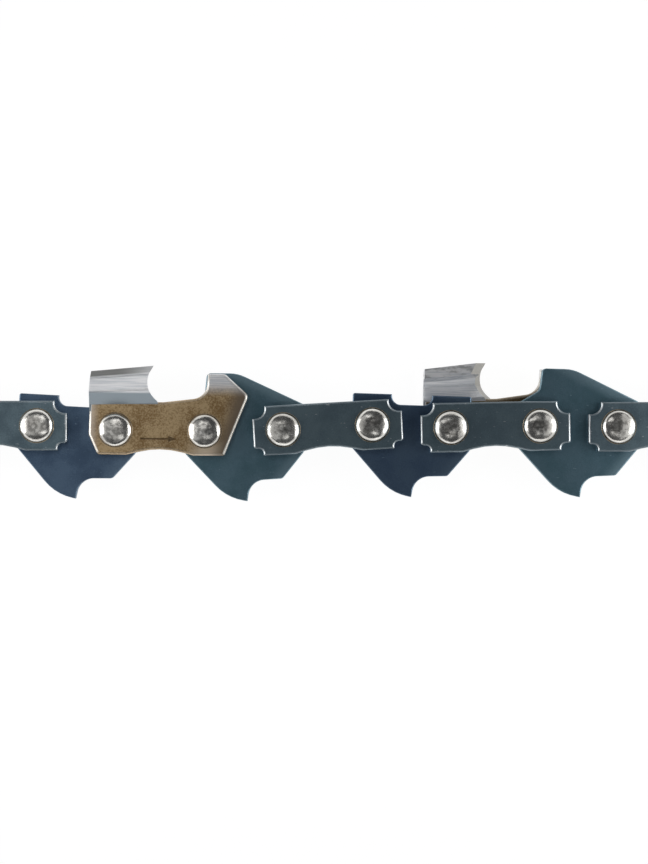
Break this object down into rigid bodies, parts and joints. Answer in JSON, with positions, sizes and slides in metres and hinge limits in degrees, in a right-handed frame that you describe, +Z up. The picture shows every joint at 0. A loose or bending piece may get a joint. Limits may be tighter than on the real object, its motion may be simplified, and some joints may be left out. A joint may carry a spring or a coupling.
{
  "type": "chainsaw chain loop",
  "caption": "Closed loop of low-profile saw chain with riveted drive links, tie straps and alternating cutters, lying on its side; it runs round a guide bar.",
  "frame": {"origin": "middle of the loop, on the surface that it lies on", "axes": "+X along the straight runs, the way the upper run travels; +Y across the loop to the run in the picture; +Z up, along the rivets"},
  "size_m": [0.2402, 0.073, 0.0058],
  "materials": {
    "navy_drive_link": "blued",
    "teal_drive_link": "blued",
    "tie_strap": "blued",
    "cutter": "part chromed"
  },
  "bodies": {
    "bumper_drive_link_01": {"bumper_drive_link_01": "teal_drive_link"},
    "strap_link_01": {"strap_link_01": "tie_strap"},
    "plain_drive_link_02": {"plain_drive_link_02": "navy_drive_link"},
    "left_cutter_link_02": {"left_cutter_link_02": "cutter"},
    "bumper_drive_link_03": {"bumper_drive_link_03": "teal_drive_link"},
    "strap_link_03": {"strap_link_03": "tie_strap"},
    "plain_drive_link_04": {"plain_drive_link_04": "navy_drive_link"},
    "right_cutter_link_04": {"right_cutter_link_04": "cutter"},
    "bumper_drive_link_05": {"bumper_drive_link_05": "teal_drive_link"},
    "strap_link_05": {"strap_link_05": "tie_strap"},
    "plain_drive_link_06": {"plain_drive_link_06": "navy_drive_link"},
    "left_cutter_link_06": {"left_cutter_link_06": "cutter"},
    "bumper_drive_link_07": {"bumper_drive_link_07": "teal_drive_link"},
    "strap_link_07": {"strap_link_07": "tie_strap"},
    "plain_drive_link_08": {"plain_drive_link_08": "navy_drive_link"},
    "right_cutter_link_08": {"right_cutter_link_08": "cutter"},
    "bumper_drive_link_09": {"bumper_drive_link_09": "teal_drive_link"},
    "strap_link_09": {"strap_link_09": "tie_strap"},
    "plain_drive_link_10": {"plain_drive_link_10": "navy_drive_link"},
    "left_cutter_link_10": {"left_cutter_link_10": "cutter"},
    "bumper_drive_link_11": {"bumper_drive_link_11": "teal_drive_link"},
    "strap_link_11": {"strap_link_11": "tie_strap"},
    "plain_drive_link_12": {"plain_drive_link_12": "navy_drive_link"},
    "right_cutter_link_12": {"right_cutter_link_12": "cutter"},
    "bumper_drive_link_13": {"bumper_drive_link_13": "teal_drive_link"},
    "strap_link_13": {"strap_link_13": "tie_strap"},
    "plain_drive_link_14": {"plain_drive_link_14": "navy_drive_link"},
    "left_cutter_link_14": {"left_cutter_link_14": "cutter"},
    "bumper_drive_link_15": {"bumper_drive_link_15": "teal_drive_link"},
    "strap_link_15": {"strap_link_15": "tie_strap"},
    "plain_drive_link_16": {"plain_drive_link_16": "navy_drive_link"},
    "right_cutter_link_16": {"right_cutter_link_16": "cutter"},
    "bumper_drive_link_17": {"bumper_drive_link_17": "teal_drive_link"},
    "strap_link_17": {"strap_link_17": "tie_strap"},
    "plain_drive_link_18": {"plain_drive_link_18": "navy_drive_link"},
    "left_cutter_link_18": {"left_cutter_link_18": "cutter"},
    "bumper_drive_link_19": {"bumper_drive_link_19": "teal_drive_link"},
    "strap_link_19": {"strap_link_19": "tie_strap"},
    "plain_drive_link_20": {"plain_drive_link_20": "navy_drive_link"},
    "right_cutter_link_20": {"right_cutter_link_20": "cutter"},
    "bumper_drive_link_21": {"bumper_drive_link_21": "teal_drive_link"},
    "strap_link_21": {"strap_link_21": "tie_strap"},
    "plain_drive_link_22": {"plain_drive_link_22": "navy_drive_link"},
    "left_cutter_link_22": {"left_cutter_link_22": "cutter"},
    "bumper_drive_link_23": {"bumper_drive_link_23": "teal_drive_link"},
    "strap_link_23": {"strap_link_23": "tie_strap"},
    "plain_drive_link_24": {"plain_drive_link_24": "navy_drive_link"},
    "right_cutter_link_24": {"right_cutter_link_24": "cutter"},
    "bumper_drive_link_25": {"bumper_drive_link_25": "teal_drive_link"},
    "strap_link_25": {"strap_link_25": "tie_strap"},
    "plain_drive_link_26": {"plain_drive_link_26": "navy_drive_link"},
    "left_cutter_link_26": {"left_cutter_link_26": "cutter"},
    "bumper_drive_link_27": {"bumper_drive_link_27": "teal_drive_link"},
    "strap_link_27": {"strap_link_27": "tie_strap"},
    "plain_drive_link_28": {"plain_drive_link_28": "navy_drive_link"},
    "right_cutter_link_28": {"right_cutter_link_28": "cutter"}
  },
  "joints": [
    {"name": "side_link_01_swing", "type": "hinge", "parent": "bumper_drive_link_01", "child": "strap_link_01", "pos_m": [-0.07933, 0.02947, 0.0029], "axis": [0, 0, 1], "range_deg": [-15, 15]},
    {"name": "drive_link_02_level", "type": "hinge", "parent": "strap_link_01", "child": "plain_drive_link_02", "pos_m": [-0.06943, 0.02947, 0.0029], "axis": [0, 0, 1], "range_deg": [-15, 15]},
    {"name": "side_link_02_swing", "type": "hinge", "parent": "plain_drive_link_02", "child": "left_cutter_link_02", "pos_m": [-0.06073, 0.02947, 0.0029], "axis": [0, 0, 1], "range_deg": [-15, 15]},
    {"name": "drive_link_03_level", "type": "hinge", "parent": "left_cutter_link_02", "child": "bumper_drive_link_03", "pos_m": [-0.05083, 0.02947, 0.0029], "axis": [0, 0, 1], "range_deg": [-15, 15]},
    {"name": "side_link_03_swing", "type": "hinge", "parent": "bumper_drive_link_03", "child": "strap_link_03", "pos_m": [-0.04213, 0.02947, 0.0029], "axis": [0, 0, 1], "range_deg": [-15, 15]},
    {"name": "drive_link_04_level", "type": "hinge", "parent": "strap_link_03", "child": "plain_drive_link_04", "pos_m": [-0.03223, 0.02947, 0.0029], "axis": [0, 0, 1], "range_deg": [-15, 15]},
    {"name": "side_link_04_swing", "type": "hinge", "parent": "plain_drive_link_04", "child": "right_cutter_link_04", "pos_m": [-0.02354, 0.029, 0.0029], "axis": [0, 0, 1], "range_deg": [-15, 15]},
    {"name": "drive_link_05_level", "type": "hinge", "parent": "right_cutter_link_04", "child": "bumper_drive_link_05", "pos_m": [-0.01365, 0.02888, 0.0029], "axis": [0, 0, 1], "range_deg": [-15, 15]},
    {"name": "side_link_05_swing", "type": "hinge", "parent": "bumper_drive_link_05", "child": "strap_link_05", "pos_m": [-0.00495, 0.029, 0.0029], "axis": [0, 0, 1], "range_deg": [-15, 15]},
    {"name": "drive_link_06_level", "type": "hinge", "parent": "strap_link_05", "child": "plain_drive_link_06", "pos_m": [0.00494, 0.02955, 0.0029], "axis": [0, 0, 1], "range_deg": [-15, 15]},
    {"name": "side_link_06_swing", "type": "hinge", "parent": "plain_drive_link_06", "child": "left_cutter_link_06", "pos_m": [0.01363, 0.02926, 0.0029], "axis": [0, 0, 1], "range_deg": [-15, 15]},
    {"name": "drive_link_07_level", "type": "hinge", "parent": "left_cutter_link_06", "child": "bumper_drive_link_07", "pos_m": [0.02353, 0.02943, 0.0029], "axis": [0, 0, 1], "range_deg": [-15, 15]},
    {"name": "side_link_07_swing", "type": "hinge", "parent": "bumper_drive_link_07", "child": "strap_link_07", "pos_m": [0.03223, 0.02934, 0.0029], "axis": [0, 0, 1], "range_deg": [-15, 15]},
    {"name": "drive_link_08_level", "type": "hinge", "parent": "strap_link_07", "child": "plain_drive_link_08", "pos_m": [0.04213, 0.02934, 0.0029], "axis": [0, 0, 1], "range_deg": [-15, 15]},
    {"name": "side_link_08_swing", "type": "hinge", "parent": "plain_drive_link_08", "child": "right_cutter_link_08", "pos_m": [0.05083, 0.02934, 0.0029], "axis": [0, 0, 1], "range_deg": [-15, 15]},
    {"name": "drive_link_09_level", "type": "hinge", "parent": "right_cutter_link_08", "child": "bumper_drive_link_09", "pos_m": [0.06073, 0.02934, 0.0029], "axis": [0, 0, 1], "range_deg": [-15, 15]},
    {"name": "side_link_09_swing", "type": "hinge", "parent": "bumper_drive_link_09", "child": "strap_link_09", "pos_m": [0.06943, 0.02934, 0.0029], "axis": [0, 0, 1], "range_deg": [-15, 15]},
    {"name": "drive_link_10_level", "type": "hinge", "parent": "strap_link_09", "child": "plain_drive_link_10", "pos_m": [0.07933, 0.02934, 0.0029], "axis": [0, 0, 1], "range_deg": [-15, 15]},
    {"name": "side_link_10_swing", "type": "hinge", "parent": "plain_drive_link_10", "child": "left_cutter_link_10", "pos_m": [0.08803, 0.02934, 0.0029], "axis": [0, 0, 1], "range_deg": [-15, 15]},
    {"name": "drive_link_11_level", "type": "hinge", "parent": "left_cutter_link_10", "child": "bumper_drive_link_11", "pos_m": [0.09745, 0.02628, 0.0029], "axis": [0, 0, 1], "range_deg": [-15, 15]},
    {"name": "side_link_11_swing", "type": "hinge", "parent": "bumper_drive_link_11", "child": "strap_link_11", "pos_m": [0.10449, 0.02117, 0.0029], "axis": [0, 0, 1], "range_deg": [-15, 15]},
    {"name": "drive_link_12_level", "type": "hinge", "parent": "strap_link_11", "child": "plain_drive_link_12", "pos_m": [0.11031, 0.01316, 0.0029], "axis": [0, 0, 1], "range_deg": [-15, 15]},
    {"name": "side_link_12_swing", "type": "hinge", "parent": "plain_drive_link_12", "child": "right_cutter_link_12", "pos_m": [0.11299, 0.00488, 0.0029], "axis": [0, 0, 1], "range_deg": [-15, 15]},
    {"name": "drive_link_13_level", "type": "hinge", "parent": "right_cutter_link_12", "child": "bumper_drive_link_13", "pos_m": [0.11299, -0.00502, 0.0029], "axis": [0, 0, 1], "range_deg": [-15, 15]},
    {"name": "side_link_13_swing", "type": "hinge", "parent": "bumper_drive_link_13", "child": "strap_link_13", "pos_m": [0.11031, -0.01329, 0.0029], "axis": [0, 0, 1], "range_deg": [-15, 15]},
    {"name": "drive_link_14_level", "type": "hinge", "parent": "strap_link_13", "child": "plain_drive_link_14", "pos_m": [0.10449, -0.0213, 0.0029], "axis": [0, 0, 1], "range_deg": [-15, 15]},
    {"name": "side_link_14_swing", "type": "hinge", "parent": "plain_drive_link_14", "child": "left_cutter_link_14", "pos_m": [0.09745, -0.02641, 0.0029], "axis": [0, 0, 1], "range_deg": [-15, 15]},
    {"name": "drive_link_15_level", "type": "hinge", "parent": "left_cutter_link_14", "child": "bumper_drive_link_15", "pos_m": [0.08803, -0.02947, 0.0029], "axis": [0, 0, 1], "range_deg": [-15, 15]},
    {"name": "side_link_28_swing", "type": "hinge", "parent": "bumper_drive_link_01", "child": "right_cutter_link_28", "pos_m": [-0.08803, 0.02947, 0.0029], "axis": [0, 0, 1], "range_deg": [-15, 15]},
    {"name": "drive_link_28_level", "type": "hinge", "parent": "right_cutter_link_28", "child": "plain_drive_link_28", "pos_m": [-0.09745, 0.02641, 0.0029], "axis": [0, 0, 1], "range_deg": [-15, 15]},
    {"name": "side_link_27_swing", "type": "hinge", "parent": "plain_drive_link_28", "child": "strap_link_27", "pos_m": [-0.10449, 0.0213, 0.0029], "axis": [0, 0, 1], "range_deg": [-15, 15]},
    {"name": "drive_link_27_level", "type": "hinge", "parent": "strap_link_27", "child": "bumper_drive_link_27", "pos_m": [-0.11031, 0.01329, 0.0029], "axis": [0, 0, 1], "range_deg": [-15, 15]},
    {"name": "side_link_26_swing", "type": "hinge", "parent": "bumper_drive_link_27", "child": "left_cutter_link_26", "pos_m": [-0.11299, 0.00502, 0.0029], "axis": [0, 0, 1], "range_deg": [-15, 15]},
    {"name": "drive_link_26_level", "type": "hinge", "parent": "left_cutter_link_26", "child": "plain_drive_link_26", "pos_m": [-0.11299, -0.00488, 0.0029], "axis": [0, 0, 1], "range_deg": [-15, 15]},
    {"name": "side_link_25_swing", "type": "hinge", "parent": "plain_drive_link_26", "child": "strap_link_25", "pos_m": [-0.11031, -0.01316, 0.0029], "axis": [0, 0, 1], "range_deg": [-15, 15]},
    {"name": "drive_link_25_level", "type": "hinge", "parent": "strap_link_25", "child": "bumper_drive_link_25", "pos_m": [-0.10449, -0.02117, 0.0029], "axis": [0, 0, 1], "range_deg": [-15, 15]},
    {"name": "side_link_24_swing", "type": "hinge", "parent": "bumper_drive_link_25", "child": "right_cutter_link_24", "pos_m": [-0.09745, -0.02628, 0.0029], "axis": [0, 0, 1], "range_deg": [-15, 15]},
    {"name": "drive_link_24_level", "type": "hinge", "parent": "right_cutter_link_24", "child": "plain_drive_link_24", "pos_m": [-0.08803, -0.02934, 0.0029], "axis": [0, 0, 1], "range_deg": [-15, 15]},
    {"name": "side_link_23_swing", "type": "hinge", "parent": "plain_drive_link_24", "child": "strap_link_23", "pos_m": [-0.07933, -0.02934, 0.0029], "axis": [0, 0, 1], "range_deg": [-15, 15]},
    {"name": "drive_link_23_level", "type": "hinge", "parent": "strap_link_23", "child": "bumper_drive_link_23", "pos_m": [-0.06943, -0.02934, 0.0029], "axis": [0, 0, 1], "range_deg": [-15, 15]},
    {"name": "side_link_22_swing", "type": "hinge", "parent": "bumper_drive_link_23", "child": "left_cutter_link_22", "pos_m": [-0.06073, -0.02934, 0.0029], "axis": [0, 0, 1], "range_deg": [-15, 15]},
    {"name": "drive_link_22_level", "type": "hinge", "parent": "left_cutter_link_22", "child": "plain_drive_link_22", "pos_m": [-0.05083, -0.02934, 0.0029], "axis": [0, 0, 1], "range_deg": [-15, 15]},
    {"name": "side_link_21_swing", "type": "hinge", "parent": "plain_drive_link_22", "child": "strap_link_21", "pos_m": [-0.04213, -0.02934, 0.0029], "axis": [0, 0, 1], "range_deg": [-15, 15]},
    {"name": "drive_link_21_level", "type": "hinge", "parent": "strap_link_21", "child": "bumper_drive_link_21", "pos_m": [-0.03223, -0.02934, 0.0029], "axis": [0, 0, 1], "range_deg": [-15, 15]},
    {"name": "side_link_20_swing", "type": "hinge", "parent": "bumper_drive_link_21", "child": "right_cutter_link_20", "pos_m": [-0.02353, -0.02943, 0.0029], "axis": [0, 0, 1], "range_deg": [-15, 15]},
    {"name": "drive_link_20_level", "type": "hinge", "parent": "right_cutter_link_20", "child": "plain_drive_link_20", "pos_m": [-0.01363, -0.02926, 0.0029], "axis": [0, 0, 1], "range_deg": [-15, 15]},
    {"name": "side_link_19_swing", "type": "hinge", "parent": "plain_drive_link_20", "child": "strap_link_19", "pos_m": [-0.00494, -0.02955, 0.0029], "axis": [0, 0, 1], "range_deg": [-15, 15]},
    {"name": "drive_link_19_level", "type": "hinge", "parent": "strap_link_19", "child": "bumper_drive_link_19", "pos_m": [0.00495, -0.029, 0.0029], "axis": [0, 0, 1], "range_deg": [-15, 15]},
    {"name": "side_link_18_swing", "type": "hinge", "parent": "bumper_drive_link_19", "child": "left_cutter_link_18", "pos_m": [0.01365, -0.02888, 0.0029], "axis": [0, 0, 1], "range_deg": [-15, 15]},
    {"name": "drive_link_18_level", "type": "hinge", "parent": "left_cutter_link_18", "child": "plain_drive_link_18", "pos_m": [0.02354, -0.029, 0.0029], "axis": [0, 0, 1], "range_deg": [-15, 15]},
    {"name": "side_link_17_swing", "type": "hinge", "parent": "plain_drive_link_18", "child": "strap_link_17", "pos_m": [0.03223, -0.02947, 0.0029], "axis": [0, 0, 1], "range_deg": [-15, 15]},
    {"name": "drive_link_17_level", "type": "hinge", "parent": "strap_link_17", "child": "bumper_drive_link_17", "pos_m": [0.04213, -0.02947, 0.0029], "axis": [0, 0, 1], "range_deg": [-15, 15]},
    {"name": "side_link_16_swing", "type": "hinge", "parent": "bumper_drive_link_17", "child": "right_cutter_link_16", "pos_m": [0.05083, -0.02947, 0.0029], "axis": [0, 0, 1], "range_deg": [-15, 15]},
    {"name": "drive_link_16_level", "type": "hinge", "parent": "right_cutter_link_16", "child": "plain_drive_link_16", "pos_m": [0.06073, -0.02947, 0.0029], "axis": [0, 0, 1], "range_deg": [-15, 15]},
    {"name": "side_link_15_swing", "type": "hinge", "parent": "plain_drive_link_16", "child": "strap_link_15", "pos_m": [0.06943, -0.02947, 0.0029], "axis": [0, 0, 1], "range_deg": [-15, 15]}
  ],
  "couplings": [
    {"joint": "drive_link_02_level", "follows": "side_link_01_swing", "ratio": -1},
    {"joint": "drive_link_03_level", "follows": "side_link_02_swing", "ratio": -1},
    {"joint": "drive_link_04_level", "follows": "side_link_03_swing", "ratio": -1},
    {"joint": "drive_link_05_level", "follows": "side_link_04_swing", "ratio": -1},
    {"joint": "drive_link_06_level", "follows": "side_link_05_swing", "ratio": -1},
    {"joint": "drive_link_07_level", "follows": "side_link_06_swing", "ratio": -1},
    {"joint": "drive_link_08_level", "follows": "side_link_07_swing", "ratio": -1},
    {"joint": "drive_link_09_level", "follows": "side_link_08_swing", "ratio": -1},
    {"joint": "drive_link_10_level", "follows": "side_link_09_swing", "ratio": -1},
    {"joint": "drive_link_11_level", "follows": "side_link_10_swing", "ratio": -1},
    {"joint": "drive_link_12_level", "follows": "side_link_11_swing", "ratio": -1},
    {"joint": "drive_link_13_level", "follows": "side_link_12_swing", "ratio": -1},
    {"joint": "drive_link_14_level", "follows": "side_link_13_swing", "ratio": -1},
    {"joint": "drive_link_15_level", "follows": "side_link_14_swing", "ratio": -1},
    {"joint": "side_link_28_swing", "follows": "side_link_14_swing", "ratio": 1},
    {"joint": "drive_link_28_level", "follows": "side_link_14_swing", "ratio": -1},
    {"joint": "side_link_27_swing", "follows": "side_link_13_swing", "ratio": 1},
    {"joint": "drive_link_27_level", "follows": "side_link_13_swing", "ratio": -1},
    {"joint": "side_link_26_swing", "follows": "side_link_12_swing", "ratio": 1},
    {"joint": "drive_link_26_level", "follows": "side_link_12_swing", "ratio": -1},
    {"joint": "side_link_25_swing", "follows": "side_link_11_swing", "ratio": 1},
    {"joint": "drive_link_25_level", "follows": "side_link_11_swing", "ratio": -1},
    {"joint": "side_link_24_swing", "follows": "side_link_10_swing", "ratio": 1},
    {"joint": "drive_link_24_level", "follows": "side_link_10_swing", "ratio": -1},
    {"joint": "side_link_23_swing", "follows": "side_link_09_swing", "ratio": 1},
    {"joint": "drive_link_23_level", "follows": "side_link_09_swing", "ratio": -1},
    {"joint": "side_link_22_swing", "follows": "side_link_08_swing", "ratio": 1},
    {"joint": "drive_link_22_level", "follows": "side_link_08_swing", "ratio": -1},
    {"joint": "side_link_21_swing", "follows": "side_link_07_swing", "ratio": 1},
    {"joint": "drive_link_21_level", "follows": "side_link_07_swing", "ratio": -1},
    {"joint": "side_link_20_swing", "follows": "side_link_06_swing", "ratio": 1},
    {"joint": "drive_link_20_level", "follows": "side_link_06_swing", "ratio": -1},
    {"joint": "side_link_19_swing", "follows": "side_link_05_swing", "ratio": 1},
    {"joint": "drive_link_19_level", "follows": "side_link_05_swing", "ratio": -1},
    {"joint": "side_link_18_swing", "follows": "side_link_04_swing", "ratio": 1},
    {"joint": "drive_link_18_level", "follows": "side_link_04_swing", "ratio": -1},
    {"joint": "side_link_17_swing", "follows": "side_link_03_swing", "ratio": 1},
    {"joint": "drive_link_17_level", "follows": "side_link_03_swing", "ratio": -1},
    {"joint": "side_link_16_swing", "follows": "side_link_02_swing", "ratio": 1},
    {"joint": "drive_link_16_level", "follows": "side_link_02_swing", "ratio": -1},
    {"joint": "side_link_15_swing", "follows": "side_link_01_swing", "ratio": 1}
  ]
}
